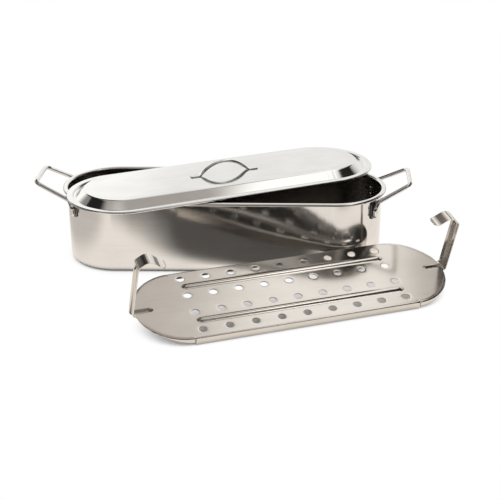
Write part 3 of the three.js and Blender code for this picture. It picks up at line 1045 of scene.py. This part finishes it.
    def shape(self, u, v):
        """Where each place of the blank ends up, and which way its upper face looks."""
        rack = self.rack
        x, y, z = u.copy(), v.copy(), np.zeros_like(u)
        facing = np.tile([0.0, 0.0, 1.0], (len(u), 1))
        middle = np.abs(u) <= self.straight + rack.slit / 2
        y[middle] = np.clip(v[middle], -self.fold_v, self.fold_v)
        self.turn_down(middle, np.abs(v) - self.fold_v, np.pi / 2,
                       (np.zeros_like(u), np.sign(v)), x, y, z, facing)
        out = np.abs(u) - self.straight
        run = np.hypot(out / rack.end_reach, v / self.half) * self.half - self.fold_v
        theta = np.arctan2(np.abs(v) / self.half, np.maximum(out, 0) / rack.end_reach)
        angle = np.pi / 2 * soft_step(self.lip_share(theta), *self.LIP_TURNS)
        lip = ~middle & (np.abs(u) < self.tip) & (run > 0) & (angle > 0)
        cosine, sine = np.sign(u) * np.cos(theta), np.sign(v) * np.sin(theta)
        fold_x = np.sign(u) * self.straight + cosine * rack.end_reach * self.fold_v / self.half
        x[lip], y[lip] = fold_x[lip], sine[lip] * self.fold_v
        way_x, way_y = cosine / rack.end_reach, sine / self.half
        size = np.hypot(way_x, way_y)
        self.turn_down(lip, run, angle, (way_x / size, way_y / size), x, y, z, facing)
        for side in SIDES.values():
            past = (u * side > self.tip) & (np.abs(v) <= rack.strip)
            line, runs = self.hooks[side], self.hook_runs[side]
            travelled = np.abs(u[past]) - self.tip
            heading = np.gradient(line, runs, axis=0)
            along = np.stack([np.interp(travelled, runs, heading[:, axis]) for axis in (0, 1)], 1)
            along /= np.linalg.norm(along, axis=1)[:, None]
            x[past] = side * (self.tip + np.interp(travelled, runs, line[:, 0]))
            z[past] = np.interp(travelled, runs, line[:, 1])
            facing[past] = np.stack([-side * along[:, 1], np.zeros(past.sum()), along[:, 0]], 1)
        return np.stack([x, y, z], 1), facing

    def turn_down(self, chosen, run, angle, way, x, y, z, facing):
        """Bends the chosen places down past the fold line, by an angle."""
        chosen = chosen & (run > 0)
        angle = np.broadcast_to(angle, run.shape)[chosen]
        run = run[chosen]
        around = np.minimum(run / self.bend, angle)
        rest = run - around * self.bend
        out = self.bend * np.sin(around) + rest * np.cos(around)
        way_x, way_y = way[0][chosen], way[1][chosen]
        x[chosen] += way_x * out
        y[chosen] += way_y * out
        z[chosen] = -(self.bend * (1 - np.cos(around)) + rest * np.sin(around))
        facing[chosen] = np.stack([way_x * np.sin(around), way_y * np.sin(around), np.cos(around)], 1)

    def net(self):
        """Places all over the blank, close together where it bends."""
        rack = self.rack
        folds = self.fold_v + np.linspace(0, self.bend * math.pi / 2, 7)
        # The plate, with its two long beads, its folds and its flaps
        bead_across = np.linspace(-rack.bead / 2, rack.bead / 2, 19)
        bead_ends = rack.bead_long / 2 + np.linspace(-rack.bead / 2, 0, 6)
        flap = self.fold_v + self.edge_run * self.FLAP_LINE
        across = np.concatenate([
            np.arange(-self.fold_v, self.fold_v, self.SPACING),
            bead_across + rack.pitch, bead_across - rack.pitch, folds, -folds, [flap, -flap],
        ])
        along = np.arange(-self.straight, self.straight + 1e-6, self.SPACING)
        points = [(u, v) for u in np.concatenate([along, bead_ends, -bead_ends]) for v in across]
        # Both ends, their strips, and the beads that run from the plate onto the strips
        shares = np.concatenate([self.FAN_RINGS * self.fold_v / self.half,
                                 folds[::2] / self.half, [folds[-1] / self.half + self.PAST_FOLD]])
        spokes = np.linspace(-self.FAN, self.FAN, self.SPOKES)
        ribs, strip_bead, foot_bead = [np.linspace(-broad / 2, broad / 2, count) for broad, count in (
            (rack.strip, 9), (rack.hook_bead, 23), (rack.hook_bead, 17))]
        foot = np.arange(self.tip - rack.hook_bead_reach - self.SPACING, self.tip, self.FOOT_SPACING)
        for side in SIDES.values():
            end = [self.end_place(share, theta) for theta in spokes for share in shares]
            end += [(u, v) for u in self.strip_places[side] for v in (*ribs[1:-1], *strip_bead)]
            end += [(u, v) for u in foot for v in foot_bead]
            points += [(side * u, v) for u, v in end]
        # Rings round the holes, the first of them inside, where it is cut away
        for hole_u, hole_v in self.holes:
            for far in self.RINGS:
                radius = rack.hole / 2 + far
                points += [(hole_u + radius * math.cos(angle), hole_v + radius * math.sin(angle))
                           for angle in np.arange(self.RING_SIDES) * 2 * math.pi / self.RING_SIDES]
        return np.array(points)


def divided(places, spacing):
    """The same places, with more between any two that lie further apart than the spacing."""
    line = []
    for start, stop in zip(places[:-1], places[1:]):
        pieces = max(1, math.ceil(math.hypot(*np.atleast_1d(stop - start)) / spacing))
        line += [start + (stop - start) * k / pieces for k in range(pieces)]
    return np.array([*line, places[-1]])


def inside(points, outline):
    """Which points lie inside an outline."""
    found = np.zeros(len(points), bool)
    x, y = points[:, 0], points[:, 1]
    for (x1, y1), (x2, y2) in zip(outline, np.roll(outline, -1, axis=0)):
        crosses = (y1 > y) != (y2 > y)
        with np.errstate(divide="ignore", invalid="ignore"):
            found ^= crosses & (x < (x2 - x1) * (y - y1) / (y2 - y1) + x1)
    return found


def triangulated(outline, net, apart=0.00025):
    """Triangles over the blank, with the outline's points first and then the net's."""
    net = net[inside(net, outline)]
    net = net[np.unique(np.round(net, 5), axis=0, return_index=True)[1]]
    clear = np.min([np.hypot(*(net - corner).T) for corner in outline], axis=0) > apart
    count = len(outline)
    places = [Vector(place) for place in np.vstack([outline, net[clear]])]
    edges = [(start, (start + 1) % count) for start in range(count)]
    flat, _, triangles, *_ = delaunay_2d_cdt(places, edges, [], 1, 1e-7)
    flat = np.array(flat)
    middles = np.array([flat[list(triangle)].mean(0) for triangle in triangles])
    kept = inside(middles, outline)
    return flat, [tuple(triangle) for triangle, keep in zip(triangles, kept) if keep]


def vertex_normals(points, triangles):
    index = np.array(triangles)
    first, second, third = (points[index[:, k]] for k in range(3))
    face = np.cross(second - first, third - first)
    total = np.zeros_like(points)
    for k in range(3):
        np.add.at(total, index[:, k], face)
    return total / np.maximum(np.linalg.norm(total, axis=1), 1e-20)[:, None]


def border(triangles):
    """The directed edges that only one triangle has."""
    edges = {(t[k], t[(k + 1) % 3]) for t in triangles for k in range(3)}
    return [edge for edge in edges if edge[::-1] not in edges]


def pressed_blank(rack):
    """The rack's sheet, pressed and bent, before its holes are cut."""
    sheet = RackSheet(rack)
    flat, triangles = triangulated(sheet.blank(), sheet.net())
    u, v = flat.T
    middle, facing = sheet.shape(u, v)
    middle = middle + facing * sheet.lift(u, v)[:, None]
    half_sheet = vertex_normals(middle, triangles) * (rack.sheet / 2)
    count = len(middle)
    faces = triangles + [tuple(corner + count for corner in reversed(t)) for t in triangles]
    faces += [(b, a, a + count, b + count) for a, b in border(triangles)]
    points = np.vstack([middle + half_sheet, middle - half_sheet]) - np.array([0, 0, rack.sheet / 2])
    mesh = new_mesh("rack_blank", points, faces, np.vstack([flat, flat]))
    with reworked(mesh) as shape:
        loose = [vertex for vertex in shape.verts if not vertex.link_faces]
        bmesh.ops.delete(shape, geom=loose, context="VERTS")
    return mesh


def rack_place(pan, rack, brackets):
    """The rack's near edge stands on the floor and its far edge leans on the pan's wall."""
    along = Vector((math.cos(rack.angle), math.sin(rack.angle), 0))
    level = Vector((-math.sin(rack.angle), math.cos(rack.angle), 0))
    across = level * math.cos(rack.tilt) + Vector((0, 0, math.sin(rack.tilt)))
    half = rack.broad / 2
    arc = (pan.long - pan.broad) / 2
    wall = pan.broad / 2 - pan.rim_reach
    far_edge = half * math.cos(rack.tilt) + rack.edge_drop * math.sin(rack.tilt)
    back = -arc * math.sin(rack.angle) - wall - brackets.gap - far_edge
    middle = along * rack.shift + level * back
    middle.z = half * math.sin(rack.tilt) + rack.edge_drop * math.cos(rack.tilt)
    turned = Matrix((along, across, along.cross(across))).transposed().to_4x4()
    return Matrix.Translation(middle) @ turned


def build_rack(pan, rack, brackets, looks):
    finish = brushed_steel("rack steel", looks.rack, looks.rack_rough, (20, 2100), 1.5e-6, seed=41.0)
    mesh = punch_tree().run_on(new_object("rack_blank", pressed_blank(rack), finish), {
        "Columns": rack.columns, "Rows": rack.rows,
        "Length": (rack.columns - 1) * rack.pitch, "Breadth": (rack.rows - 1) * rack.pitch,
        "Hole radius": rack.hole / 2, "Steel": finish,
    })
    with reworked(mesh) as shape:
        bmesh.ops.join_triangles(shape, faces=shape.faces, angle_face_threshold=0.1,
                                 angle_shape_threshold=0.7)
    mesh.transform(rack_place(pan, rack, brackets))
    smooth(mesh, degrees=60)
    shown("rack_pressing", mesh, finish, "rack", "rack_plate", "rack_hook_left", "rack_hook_right")


# Studio

def glowing(strand, level, colour):
    """Light of a colour, at a level that may change from place to place."""
    settings = {"data_type": "RGBA", "clamp_factor": False}
    glow = strand.node("ShaderNodeMix", settings, {0: level, 6: BLACK, 7: colour}, 2)
    return strand.node("ShaderNodeEmission", sockets={"Color": glow, "Strength": 1})


def backdrop_rays(strand):
    """1 for the rays that should meet the white backdrop: the camera's, glossy and transmission ones."""
    camera, glossy, clear = [strand.node("ShaderNodeLightPath", output=f"Is {kind} Ray")
                             for kind in ("Camera", "Glossy", "Transmission")]
    return strand.math("MAXIMUM", strand.math("MAXIMUM", camera, glossy), clear)


def four_corners(name, corners, material):
    mesh = bpy.data.meshes.new(name)
    mesh.from_pydata(corners, [], [(0, 1, 2, 3)])
    piece = new_object(name, mesh, material)
    return piece


def lying(x, front, back, z):
    """The corners of a level sheet, as far to the left as to the right."""
    return [(-x, front, z), (x, front, z), (x, back, z), (-x, back, z)]


def standing(start, end, low, high):
    """The corners of an upright sheet over a line on the floor."""
    return [(*start, low), (*end, low), (*end, high), (*start, high)]


def build_floor(studio):
    """A white floor that turns matt, and so keeps its shadows, close to the pieces and under them.
    In the steel it is warmer, it has a painted shadow behind the rack and painted shade left of the pan, and
    it is dark where the table ends."""
    material, strand = new_tree("floor paint")
    place = strand.node("ShaderNodeTexCoord", output="Object")
    mirrored = strand.node("ShaderNodeLightPath", output="Is Glossy Ray")
    x, y, _ = strand.axes(place)
    # How far a place lies behind a line along the rack's edges, and to the right of one across them
    edge_slope, end_slope = 0.36, 0.86
    behind = y - x * edge_slope
    beside = x - y * end_slope
    # Painted shadow: as the steel shows it, the floor under and behind the rack is dark
    painted_rack_shadow = beside.between(0.022, 0.09) * (1 - x.between(0.1, 0.16))
    painted_rack_shadow = painted_rack_shadow * behind.within(-0.232, -0.21, -0.15, -0.09)
    # Painted shade on the floor left of the pan, which the pan's left end mirrors, and the part of the table
    # that isn't in the room's shade
    left = (1 - x.between(-0.32, -0.21)) * y.between(-0.4, -0.2) * 0.35
    lit = x.within(-0.6, -0.4, 0.42, 0.6) * behind.between(-0.45, -0.36) * 0.9 + 0.1
    shade = mirrored * (1 - (1 - left) * (1 - painted_rack_shadow * 0.9) * lit)
    speckle = strand.node("ShaderNodeTexNoise", sockets={"Vector": place, "Scale": 40, "Detail": 2})
    paint = speckle.blend(shaded(studio.floor, 1), shaded(studio.floor, 0.985))
    matt = strand.node("ShaderNodeBsdfPrincipled", sockets={
        "Base Color": (mirrored * painted_rack_shadow).blend(paint, RACK_SHADOW_TINT),
        "Roughness": 0.7, "Specular IOR Level": 0.2,
    })
    white = glowing(strand, 1 - shade, mirrored.blend(WHITE, TABLE_TINT))
    # In the steel the shadows at the pieces' feet are narrower
    reach = {"Distance": studio.shadow - mirrored * 0.02}
    openness = strand.node("ShaderNodeAmbientOcclusion", {"samples": 12}, reach, "AO")
    clear = openness.between(mirrored * 0.22 + 0.08, mirrored * 0.1 + 0.65) * backdrop_rays(strand)
    strand.surface(strand.node("ShaderNodeMixShader", sockets={0: clear, 1: matt, 2: white}))
    four_corners("floor", lying(6, -studio.table, 6, -0.0003), material)


def build_world(studio):
    world = bpy.data.worlds.new("studio")
    world.use_nodes = True
    world.node_tree.nodes.clear()
    strand = Strand(world.node_tree)
    level = backdrop_rays(strand) * (1 - studio.ambient) + studio.ambient
    light = strand.node("ShaderNodeBackground", sockets={"Color": WHITE, "Strength": level})
    strand.node("ShaderNodeOutputWorld", sockets={"Surface": light})
    bpy.context.scene.world = world


def card(name, corners, glow):
    """A studio card that only the steel shows. Its glow gives a place's level and colour."""
    material, strand = new_tree(f"{name} card")
    place = strand.node("ShaderNodeTexCoord", output="Object")
    strand.surface(glowing(strand, *glow(*strand.axes(place))))
    piece = four_corners(name, corners, material)
    for ray in ("camera", "diffuse", "transmission", "volume_scatter", "shadow"):
        setattr(piece, f"visible_{ray}", False)


def build_cards(studio):
    """The studio around the table, as the steel shows it: dark in front and at the sides, with a
    soft ceiling that is brightest behind and at the right, and a pale backdrop."""
    front, side, high, back = -1.75, 1.9, 1.6, 2.1
    dark = studio.room

    def ceiling(x, y, z):
        rear = (x.between(-0.1, 0.32) * 0.43 + 0.6) * x.between(-0.5, -0.28) - x.between(0.66, 0.78) * 0.55
        panel = x.between(0.60, 0.74) * 0.85 + 0.4
        near = y.between(-0.8, -0.6) * 0.8 + 0.2 + y.within(-0.75, -0.6, -0.5, -0.35)
        behind = y.between(0.45, 0.8)
        level = rear * behind + panel * (1 - behind) * near
        tone = level.between(0.4, 0.95).blend(*CEILING_TINTS)
        return x.within(-1.1, -0.7, 0.93, 1.18) * level * studio.top + dark, tone

    def front_glow(x, y, z):
        ends = (x * x).between(0.64, 1.96)
        level = z.between(0.75, 1.3) * (ends * 0.4 + 0.6) + z.between(0.25, 0.6) * ends * 0.22
        return level + dark, FRONT_TINT

    def side_glow(x, y, z):
        level = y.between(-0.5, 0.6) * (1 - z.between(0.9, 1.3)) * (studio.side - dark)
        level = level + y.between(0.9, 1.8) * 0.8
        right = x.between(-0.1, 0.1)
        ends = (0.28 - right * 0.06 - right * y.between(-1.6, -1.2) * 0.22) * z.between(0.25, 0.6)
        return level + ends + dark, SIDE_TINT

    def backdrop(x, y, z):
        return 1.2 - (x + z * 0.25).between(-0.3, 0.05) * 0.2, WHITE

    def plain(x, y, z):
        return dark, WHITE

    card("ceiling", lying(side, front, back, high), ceiling)
    card("front", standing((-side, front), (side, front), 0, high), front_glow)
    card("backdrop", standing((side, back), (-side, back), 0, high), backdrop)
    card("table_front", lying(6, front, -studio.table, -0.01), plain)
    for name, x in (("left", -side), ("right", side)):
        card(name, standing((x, front), (x, back), 0.01, high), side_glow)


def build_lights(studio):
    """Soft lamps, each with its place, its target, its size and its power. The steel doesn't show them."""
    lamps = [
        ("overhead", (0.1, 0.5, 1.9), (0, 0, 0.05), (1.4, 1.0), studio.key),
        ("left", (-1.6, 0.2, 1.2), (0, 0, 0.1), (0.8, 0.8), studio.key * 0.25),
    ]
    for name, place, target, size, power in lamps:
        lamp = bpy.data.lights.new(name, "AREA")
        lamp.shape = "RECTANGLE"
        lamp.size, lamp.size_y = size
        lamp.energy = power
        holder = bpy.data.objects.new(name, lamp)
        holder.location = place
        holder.rotation_euler = (Vector(target) - Vector(place)).to_track_quat("-Z", "Y").to_euler()
        holder.visible_glossy = False
        bpy.context.scene.collection.objects.link(holder)


def build_camera(studio):
    camera = bpy.data.cameras.new("camera")
    camera.lens = studio.lens
    camera.sensor_width = 36
    camera.sensor_fit = "HORIZONTAL"
    camera.clip_end = 50
    holder = bpy.data.objects.new("camera", camera)
    holder.location = studio.camera
    holder.rotation_euler = (studio.pitch, 0, studio.yaw)
    bpy.context.scene.collection.objects.link(holder)
    bpy.context.scene.camera = holder


# Operators

def made(build, context, *names):
    """Runs a builder on the scene's property groups."""
    build(*[getattr(context.scene, f"poacher_{name}") for name in names])
    return {"FINISHED"}


class POACHER_OT_pan(bpy.types.Operator):
    """Press the pan"""
    bl_idname = "poacher.pan"
    bl_label = "Pan"

    def execute(self, context):
        return made(build_pan, context, "pan", "steel")


class POACHER_OT_wires(bpy.types.Operator):
    """Bend the two wire handles"""
    bl_idname = "poacher.wires"
    bl_label = "Wire handles"

    def execute(self, context):
        return made(build_wires, context, "pan", "handles", "brackets", "steel")


class POACHER_OT_brackets(bpy.types.Operator):
    """Fit the brackets that hold the wire handles"""
    bl_idname = "poacher.brackets"
    bl_label = "Brackets"

    def execute(self, context):
        return made(build_brackets, context, "pan", "handles", "brackets", "steel")


class POACHER_OT_rivets(bpy.types.Operator):
    """Set the rivets through the brackets and the pan's wall"""
    bl_idname = "poacher.rivets"
    bl_label = "Rivets"

    def execute(self, context):
        return made(build_rivets, context, "pan", "handles", "brackets", "steel")


class POACHER_OT_lid(bpy.types.Operator):
    """Press the lid"""
    bl_idname = "poacher.lid"
    bl_label = "Lid"

    def execute(self, context):
        return made(build_lid, context, "pan", "lid", "brackets", "steel")


class POACHER_OT_lid_handle(bpy.types.Operator):
    """Bend the lid's strap handle"""
    bl_idname = "poacher.lid_handle"
    bl_label = "Lid handle"

    def execute(self, context):
        return made(build_lid_handle, context, "pan", "lid", "brackets", "steel")


class POACHER_OT_rack(bpy.types.Operator):
    """Press and punch the rack and bend its hooks"""
    bl_idname = "poacher.rack"
    bl_label = "Rack"

    def execute(self, context):
        return made(build_rack, context, "pan", "rack", "brackets", "steel")


class POACHER_OT_stage(bpy.types.Operator):
    """Lay the floor, and set the lights and the camera"""
    bl_idname = "poacher.stage"
    bl_label = "Stage"

    def execute(self, context):
        for build in (build_floor, build_world, build_cards, build_lights, build_camera):
            made(build, context, "studio")
        context.scene.view_settings.view_transform = "Standard"
        return {"FINISHED"}


OPERATORS = (
    POACHER_OT_pan, POACHER_OT_wires, POACHER_OT_brackets, POACHER_OT_rivets,
    POACHER_OT_lid, POACHER_OT_lid_handle, POACHER_OT_rack, POACHER_OT_stage,
)


class POACHER_PT_sidebar(bpy.types.Panel):
    """Lists the poacher's sizes, and makes its pieces"""
    bl_idname = "POACHER_PT_sidebar"
    bl_label = "Fish poacher"
    bl_space_type = "VIEW_3D"
    bl_region_type = "UI"
    bl_category = "Fish poacher"

    def draw(self, context):
        for operator in OPERATORS:
            self.layout.operator(operator.bl_idname)
        for name, group in GROUPS.items():
            box = self.layout.box()
            for field in group.__annotations__:
                box.prop(getattr(context.scene, name), field)


def register():
    for group in (*GROUPS.values(), *OPERATORS, POACHER_PT_sidebar):
        bpy.utils.register_class(group)
    for name, group in GROUPS.items():
        setattr(bpy.types.Scene, name, bpy.props.PointerProperty(type=group))


def unregister():
    for name in GROUPS:
        delattr(bpy.types.Scene, name)
    for group in (POACHER_PT_sidebar, *reversed(OPERATORS), *reversed(tuple(GROUPS.values()))):
        bpy.utils.unregister_class(group)


def main():
    register()
    bpy.ops.poacher.pan()
    bpy.ops.poacher.wires()
    bpy.ops.poacher.brackets()
    bpy.ops.poacher.rivets()
    bpy.ops.poacher.lid()
    bpy.ops.poacher.lid_handle()
    bpy.ops.poacher.rack()
    bpy.ops.poacher.stage()


if __name__ == "__main__":
    main()
